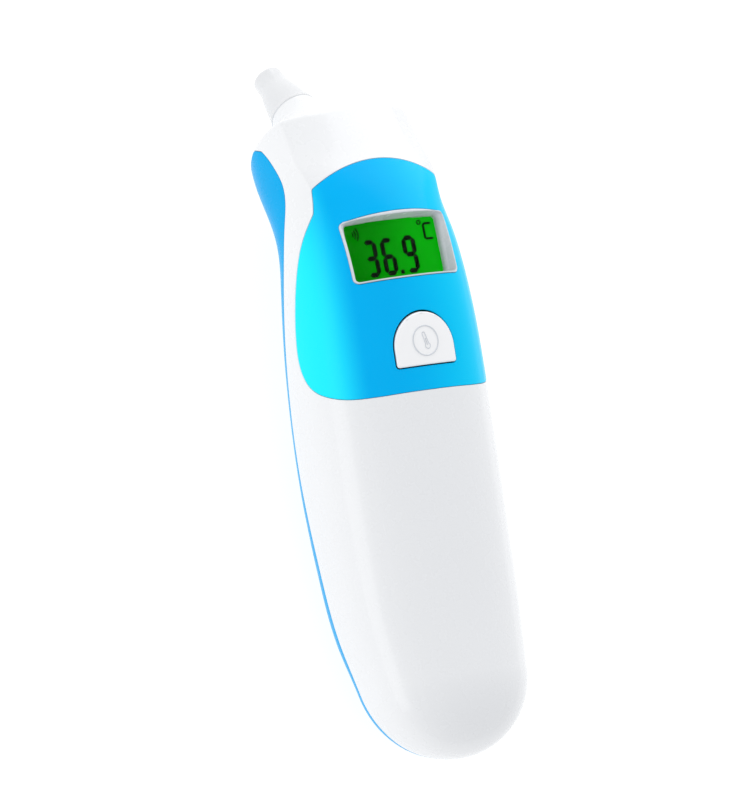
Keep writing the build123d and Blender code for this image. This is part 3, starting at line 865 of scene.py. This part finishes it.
SLOTS = {
    "white_shell": plastic("white_shell", (0.765, 0.775, 0.79), (0.760, 0.770, 0.786), 0.24, 0.30,
                           coat=0.4, dust=0.015),
    "blue_shell": plastic("blue_shell", (0.0, 0.375, 0.76), (0.0, 0.365, 0.745), 0.24, 0.32, shine=0.07),
    "blue_panel": plastic("blue_panel", (0.0, 0.42, 0.84), (0.0, 0.41, 0.825), 0.16, 0.24, shine=0.06, dust=0.01),
    "button_white": plastic("button_white", (0.86, 0.865, 0.875), (0.85, 0.855, 0.867), 0.30, 0.42, coat=0.1),
    "bezel_silver": plastic("bezel_silver", (0.60, 0.63, 0.67), (0.56, 0.59, 0.63), 0.22, 0.30, coat=0.3),
    "clear_window": clear("clear_window", (0.97, 0.99, 0.98), 0.0, 0.006, 1.0, 1.04),
    "lcd_green": backlit("lcd_green"),
    "lcd_black": plastic("lcd_black", (0.004, 0.010, 0.004), (0.003, 0.007, 0.003), 0.35, 0.5,
                         dust=0.0, shine=0.04),
    "probe_white": plastic("probe_white", (0.67, 0.68, 0.695), (0.66, 0.67, 0.685), 0.18, 0.28, coat=0.25),
    "lens_dark": clear("lens_dark", (0.05, 0.05, 0.06), 0.05, 0.12, 0.2),
    "frame_white": plastic("frame_white", (0.80, 0.81, 0.80), (0.76, 0.77, 0.76), 0.4, 0.55),
    "board_green": plastic("board_green", (0.02, 0.20, 0.07), (0.015, 0.15, 0.05), 0.3, 0.45, grain=0.8, strength=0.3),
    "chip_black": plastic("chip_black", (0.025, 0.025, 0.028), (0.018, 0.018, 0.02), 0.45, 0.6,
                          grain=1.0, strength=0.4),
    "rubber_grey": plastic("rubber_grey", (0.20, 0.21, 0.23), (0.17, 0.18, 0.2), 0.6, 0.75, grain=1.0, strength=0.3),
    "light_guide": plastic("light_guide", (0.82, 0.90, 0.82), (0.78, 0.86, 0.78), 0.3, 0.45, light=0.2),
    "brass": metal("brass", (0.75, 0.55, 0.22), (0.45, 0.30, 0.12)),
    "steel": metal("steel", (0.66, 0.67, 0.68), (0.45, 0.45, 0.46)),
    "wire_red": plastic("wire_red", (0.52, 0.05, 0.04), (0.45, 0.04, 0.03), 0.4, 0.55),
    "cell_jacket": metal("cell_jacket", (0.10, 0.30, 0.15), (0.07, 0.22, 0.11)),
}


def painted_panel_highlights(finish):
    """Painted highlights in the panel's colour: its blue turns to a painted cyan highlight along its left side and to a
    painted cyan sheen towards its right side, standing in for reflections.
    """
    tree = finish.node_tree
    group = next(n for n in tree.nodes if n.type == "GROUP")
    split = tree.nodes.new("ShaderNodeSeparateXYZ")
    tree.links.new(tree.nodes.new("ShaderNodeTexCoord").outputs["Object"], split.inputs["Vector"])
    # Painted highlight: mask of the cyan highlight painted along the panel's left side.
    left = to_range(tree, split.outputs["X"], -0.0205, -0.0135, 1, 0)
    # Painted sheen: mask of the cyan sheen painted towards the panel's right side.
    right_sheen_mask = to_range(tree, split.outputs["X"], -0.008, 0.018, 0, 0.75)
    for label in ("Colour", "Deep colour"):
        plain = tuple(group.inputs[label].default_value)
        right_sheen_colour = mixed_colour(tree, right_sheen_mask, plain, (0.0, 0.64, 0.92, 1))
        left_highlight_colour = mixed_colour(tree, left, right_sheen_colour, (0.015, 0.78, 0.97, 1))
        tree.links.new(left_highlight_colour, group.inputs[label])


# The panel's colour carries a painted highlight on its left side and a painted sheen towards its right.
painted_panel_highlights(SLOTS["blue_panel"])
SLOT_OF = {part["node"]: part["material_slot"] for part in frame["record"]["subparts"]}
BODY_OF = {node: body for body, nodes in frame["record"]["behaviour"]["bodies"].items() for node in nodes}
for node, shown in frame["nodes"].items():
    shown.data.materials.clear()
    shown.data.materials.append(SLOTS[SLOT_OF[node]])


def stand_in(piece, node):
    """The piece is shown in place of the named node, in that node's finish and on its body."""
    piece.data.materials.clear()
    piece.data.materials.append(SLOTS[SLOT_OF[node]])
    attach(piece, BODY_OF[node])
    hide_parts(node)
    return piece


# ---- the mouldings
def ring_tube(x, y, rows, steps=40):
    """Closed upright ring about (x, y) from (radius, z) points."""
    angles = np.linspace(0, 2 * math.pi, steps, endpoint=False)
    loops = [np.column_stack([x + r * np.cos(angles), y + r * np.sin(angles), np.full(steps, z)]) for r, z in rows]
    return loops_solid(loops)


front = mesh_object("front_moulding", *skin_part(~in_rear & ~in_panel, 0.0, WALL))
stand_in(front, "front_shell")
rear = mesh_object("rear_moulding", *skin_part(in_rear & ~in_door & ~in_screw, 0.0, WALL))
stand_in(rear, "rear_shell")
door = mesh_object("battery_door_moulding", *skin_part(in_door, 0.0, WALL, grips=True))
stand_in(door, "battery_door")
panel = mesh_object("panel_moulding", *skin_part(in_panel & ~in_window & ~in_button, 0.0, PANEL_THICK))
stand_in(panel, "front_panel")
button = mesh_object("button_cap", *skin_part(in_button, -BUTTON_PROUD, BUTTON_DEEP, BUTTON_GAP, BUTTON_ROUND))
stand_in(button, "measure_button")


# ---- display frame
def frame_loop(half_x, half_y, radius, bow, middle, height):
    """Closed loop of a rounded rectangle with a bowed upper side; height is a z or a function of x, y."""
    low, high = middle - half_y, middle + half_y
    right = [(x, low) for x in np.linspace(0, half_x - radius, 16)]
    right += corner_arc((half_x - radius, low + radius), radius, -90, 0, 9)[1:]
    right += [(half_x, y) for y in np.linspace(low + radius, high - radius, 14)[1:-1]]
    right += corner_arc((half_x - radius, high - radius), radius, 0, 82, 9)
    x0, y0 = right[-1]
    right += [(x, y0 + (high + bow - y0) * (1 - (x / x0) ** 2)) for x in np.linspace(x0, 0, 20)[1:]]
    points = np.array(right + [(-x, y) for x, y in right[-2:0:-1]])
    z = height(points[:, 0], points[:, 1]) if callable(height) else np.full(len(points), height)
    return np.column_stack([points, z])


def front_height(lift):
    """Height of the front skin over (x, y), raised by lift."""
    def at(x, y):
        level, half, height, depth, ridge, share = section_sizes(y, -lift)
        oval = height * (1 - np.clip(np.abs(x) / half, 0, 1) ** BODY_POWER) ** (1 / BODY_POWER)
        edge_x = half * share
        sag = crown_sag(y, edge_x)
        return level + oval + (height - sag * (x / edge_x) ** 2 - oval) * ridge
    return at


def bezel_mesh():
    hx, hy = BEZEL_HALF
    outer = [(0.0, 32.4), (0.0, front_height(-0.2)), (-0.02, front_height(0.02)), (-0.08, front_height(0.10)),
             (-0.20, front_height(0.15))]
    loops = [frame_loop(hx + g, hy + g, 1.25 + g, BEZEL_BOW, LCD_Y, h) for g, h in outer]
    mouth = [(1.16, 0.62, 0.15, front_height(0.15)), (1.06, 0.52, 0.13, front_height(0.08)),
             (0.98, 0.45, 0.12, front_height(-0.08)), (0.50, 0.25, 0.06, LCD_TOP + 0.75),
             (0.42, 0.20, 0.05, LCD_TOP + 0.62), (0.0, 0.0, 0.0, LCD_TOP)]
    for wide, tall, shift, height in mouth:
        loops.append(frame_loop(12.0 + wide, 6.2 + tall, 0.9, 0.35, LCD_Y + shift, height))
    loops.append(frame_loop(12.0, 6.2, 0.9, 0.35, LCD_Y, 32.5))
    points, faces = loops_solid(loops)
    return points, faces


bezel_points_made, bezel_faces = bezel_mesh()
bezel = sharpened(mesh_object("display_frame", bezel_points_made, bezel_faces), 40)
stand_in(bezel, "display_bezel")

# ---- marks on the display
MARK_LOW, MARK_HIGH = 32.22, 32.34
DIGIT_SIZE, STROKE, MARK_GAP = (3.45, 8.2), 1.06, 0.06
DIGITS = (("abcdg", -5.45), ("acdefg", -0.95), ("abcdfg", 4.63))
DIGIT_Y = LCD_Y - 1.3


def plate(outline, low, high):
    """Closed flat plate over a convex or simple outline of (x, y)."""
    count = len(outline)
    points = np.array([(x, y, z) for z in (low, high) for x, y in outline])
    faces = [tuple(range(count))[::-1], tuple(range(count, 2 * count))]
    faces += [(i, (i + 1) % count, (i + 1) % count + count, i + count) for i in range(count)]
    return points, faces


def bar(start, end, wide):
    """Outline of a segment with pointed ends."""
    start, end = np.array(start), np.array(end)
    ahead = (end - start) / np.linalg.norm(end - start)
    side = np.array([-ahead[1], ahead[0]]) * wide / 2
    start, end = start + ahead * MARK_GAP, end - ahead * MARK_GAP
    cut = ahead * wide / 2
    return [start, start + cut - side, end - cut - side, end, end - cut + side, start + cut + side]


def digit_bars(names, x):
    hx, hy = DIGIT_SIZE[0] / 2 - STROKE / 2, DIGIT_SIZE[1] / 2 - STROKE / 2
    ends = {
        "a": ((-hx, hy), (hx, hy)), "g": ((-hx, 0), (hx, 0)), "d": ((-hx, -hy), (hx, -hy)),
        "f": ((-hx, 0), (-hx, hy)), "b": ((hx, 0), (hx, hy)), "e": ((-hx, -hy), (-hx, 0)), "c": ((hx, -hy), (hx, 0)),
    }
    return [bar(*[(x + a, DIGIT_Y + b) for a, b in ends[n]], STROKE) for n in names]


def arc_band(centre, radius, wide, start, end, steps=20):
    angles = np.radians(np.linspace(start, end, steps))
    ring = [[(centre[0] + r * math.cos(a), centre[1] + r * math.sin(a)) for a in angles]
            for r in (radius - wide / 2, radius + wide / 2)]
    return ring[1] + ring[0][::-1]


def stacked(parts):
    points, faces, offset = [], [], 0
    for part_points, part_faces in parts:
        points.append(part_points)
        faces += [tuple(i + offset for i in face) for face in part_faces]
        offset += len(part_points)
    return np.vstack(points), faces


outlines = [outline for names, x in DIGITS for outline in digit_bars(names, x)]
outlines.append([(1.35, LCD_Y - 5.3), (2.2, LCD_Y - 5.3), (2.2, LCD_Y - 4.45), (1.35, LCD_Y - 4.45)])
cx, cy = 9.2, LCD_Y + 1.6
outlines.append(bar((cx, cy - 0.1), (cx, cy + 3.4), 0.5))
outlines.append(bar((cx, cy), (cx + 2.1, cy), 0.5))
outlines.append(bar((cx, cy + 3.3), (cx + 2.1, cy + 3.3), 0.5))
outlines.append(arc_band((8.2, LCD_Y + 5.3), 0.42, 0.26, 0, 179))
outlines.append(arc_band((8.2, LCD_Y + 5.3), 0.42, 0.26, 181, 360))
for radius in (0.7, 1.35, 2.0):
    outlines.append(arc_band((-9.7, LCD_Y + 4.3), radius, 0.26, -42, 42))
marks = mesh_object("display_marks", *stacked([plate(o, MARK_LOW, MARK_HIGH) for o in outlines]), smooth=False)
stand_in(marks, "lcd_segments")


# ---- raised sign on the button
def raised_line(path, radius, lift, closed):
    """Round bead along (x, y) points, half sunk in the button's face."""
    path = np.array(path, float)
    z = front_height(lift)(path[:, 0], path[:, 1])
    line = np.column_stack([path, z])
    ahead = np.roll(line, -1, axis=0) - np.roll(line, 1, axis=0)
    if not closed:
        ahead[0], ahead[-1] = line[1] - line[0], line[-1] - line[-2]
    ahead /= np.linalg.norm(ahead, axis=1, keepdims=True)
    side = np.cross(ahead, (0, 0, 1.0))
    side /= np.linalg.norm(side, axis=1, keepdims=True)
    up = np.cross(side, ahead)
    loops = []
    for a in np.linspace(0, 2 * math.pi, 12, endpoint=False):
        loops.append(line + radius * (math.cos(a) * side + math.sin(a) * up))
    count, around = len(line), len(loops)
    points = np.vstack([np.array([loop[i] for loop in loops]) for i in range(count)])
    faces = []
    for i in range(count if closed else count - 1):
        j = (i + 1) % count
        for k in range(around):
            n = (k + 1) % around
            faces.append((i * around + k, i * around + n, j * around + n, j * around + k))
    if not closed:
        faces.append(tuple(range(around))[::-1])
        faces.append(tuple(range((count - 1) * around, count * around)))
    return points, faces


ring_path = [(3.18 * math.cos(a), MARK_Y + 3.18 * math.sin(a)) for a in np.linspace(0, 2 * math.pi, 72, endpoint=False)]
bulb_path = [(0.35 + 0.62 * math.cos(a), MARK_Y - 1.15 + 0.62 * math.sin(a))
             for a in np.radians(np.linspace(105 + 40, 105 + 360 - 40, 30))]
stem_end = [(-0.72, MARK_Y + 1.55), (-0.45, MARK_Y + 1.85), (-0.10, MARK_Y + 1.80)]
icon_path = [bulb_path[0]] + stem_end + [bulb_path[-1]]
sign_parts = [raised_line(ring_path, 0.14, 0.36, True), raised_line(bulb_path, 0.10, 0.36, False),
              raised_line(resampled(icon_path, 0.12), 0.10, 0.36, False),
              raised_line([(0.30, MARK_Y - 1.0), (0.12, MARK_Y - 0.3), (-0.08, MARK_Y + 0.5)], 0.09, 0.36, False)]
sign = sharpened(mesh_object("button_sign", *stacked(sign_parts)), 50)
sign.data.materials.append(SLOTS["bezel_silver"])
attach(sign, "button")

# ---- screw towers in the rear shell
for name, x in (("left", -SCREW_AT[0]), ("right", SCREW_AT[0])):
    rows = [(2.25, 5.6), (2.2, 8.0), (1.2, 8.0), (1.2, 14.0), (3.3, 14.0), (3.3, 6.5), (2.6, 5.6)]
    tower = sharpened(mesh_object("screw_tower_" + name, *ring_tube(x, SCREW_AT[1], rows)), 30)
    tower.data.materials.append(SLOTS["blue_shell"])
    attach(tower, "housing")

# ---- probe
nose_at = PROBE_LENGTH - NOSE_LENGTH
probe_profile = [(4.3, -5.0), (4.3, -0.15), (5.1, -0.12), (5.32, -0.05), (5.42, 0.08), (5.42, 0.34), (5.34, 0.46),
                 (5.24, 0.56)]
for t in np.linspace(0, 1, 14)[1:]:
    probe_profile.append((5.2 + (NOSE_RADIUS - 5.2) * (t - 0.10 * math.sin(math.pi * t)), 0.6 + (nose_at - 0.6) * t))
probe_profile += [(NOSE_RADIUS, PROBE_LENGTH - 0.65)]
probe_profile += [(NOSE_RADIUS - 0.65 + 0.65 * math.cos(a), PROBE_LENGTH - 0.65 + 0.65 * math.sin(a))
                  for a in np.radians(np.arange(11.25, 91, 11.25))]
probe_profile += [(2.68, PROBE_LENGTH), (2.65, PROBE_LENGTH - 0.04), (2.65, 4.6), (3.6, 2.6), (3.6, -5.0)]
probe = sharpened(mesh_object("probe_moulding", *lathe(probe_profile, 96)), 40)
stand_in(probe, "probe_cone")

# ---- camera
YAW, PITCH, ROLL = math.radians(34.0), math.radians(-5.65), math.radians(11.4)
AIM, DISTANCE, LENS = np.array([0.0, 79.9, 12.9]), 2150.4, 450.0
towards = np.array([-math.sin(YAW) * math.cos(PITCH), math.sin(PITCH), math.cos(YAW) * math.cos(PITCH)])
right = np.array([math.cos(YAW), 0.0, math.sin(YAW)])
above = np.cross(towards, right)
view_right = math.cos(ROLL) * right - math.sin(ROLL) * above
view_up = math.sin(ROLL) * right + math.cos(ROLL) * above
axes = turned([view_right, view_up, towards])
camera_data = bpy.data.cameras.new("camera")
camera_data.lens = LENS
camera_data.sensor_width = 36.0
camera_data.clip_start, camera_data.clip_end = 0.01, 20.0
camera = bpy.data.objects.new("camera", camera_data)
bpy.context.scene.collection.objects.link(camera)
place = to_row([AIM + towards * DISTANCE])[0]
matrix = np.eye(4)
matrix[:3, :3] = axes.T
matrix[:3, 3] = place
camera.matrix_world = Matrix(matrix.tolist())
bpy.context.scene.camera = camera

# ---- floor and light
floor_mesh = bpy.data.meshes.new("floor")
floor_mesh.from_pydata([(-4, -4, 0), (4, -4, 0), (4, 4, 0), (-4, 4, 0)], [], [(0, 1, 2, 3)])
floor = bpy.data.objects.new("floor", floor_mesh)
bpy.context.scene.collection.objects.link(floor)
floor_finish, _, floor_shader = material("pale floor")
floor_shader.inputs["Base Color"].default_value = (0.28, 0.28, 0.28, 1)
floor_shader.inputs["Roughness"].default_value = 0.9
floor_shader.inputs["Specular IOR Level"].default_value = 0.0
floor_shader.inputs["Emission Color"].default_value = (1, 1, 1, 1)
floor_shader.inputs["Emission Strength"].default_value = 0.88
floor_mesh.materials.append(floor_finish)

world = bpy.data.worlds.new("studio")
bpy.context.scene.world = world
world.use_nodes = True
sky = world.node_tree
background = next(n for n in sky.nodes if n.type == "BACKGROUND")
direction = sky.nodes.new("ShaderNodeTexCoord").outputs["Generated"]
dot = sky.nodes.new("ShaderNodeVectorMath")
dot.operation = "DOT_PRODUCT"
sky.links.new(direction, dot.inputs[0])
shaded_side = axes[2] + 0.9 * axes[0] - 0.4 * axes[1]
dot.inputs[1].default_value = tuple(shaded_side / np.linalg.norm(shaded_side))
dim = to_range(sky, dot.outputs["Value"], 0.2, 0.98, 0, 1)
sky.links.new(mixed_colour(sky, dim, (1.0, 1.0, 1.0, 1), (0.84, 0.85, 0.87, 1)), background.inputs["Color"])
background.inputs["Strength"].default_value = 0.95


def softbox(name, place, aim, size, power):
    data = bpy.data.lights.new(name, "AREA")
    data.shape = "RECTANGLE"
    data.size, data.size_y = size
    data.energy = power
    light = bpy.data.objects.new(name, data)
    bpy.context.scene.collection.objects.link(light)
    light.location = place
    light.rotation_mode = "QUATERNION"
    light.rotation_quaternion = (Vector(aim) - Vector(place)).to_track_quat("-Z", "Y")
    return light


softbox("softbox_left", (-0.865, 0.0, 0.27), (0, 0, 0.02), (1.4, 0.42), 1.9)
softbox("softbox_top", (0.55, 0.75, 0.45), (0, 0, 0.02), (1.1, 0.8), 4.6)

bpy.context.scene.view_settings.view_transform = "Standard"
bpy.context.scene.view_settings.look = "None"
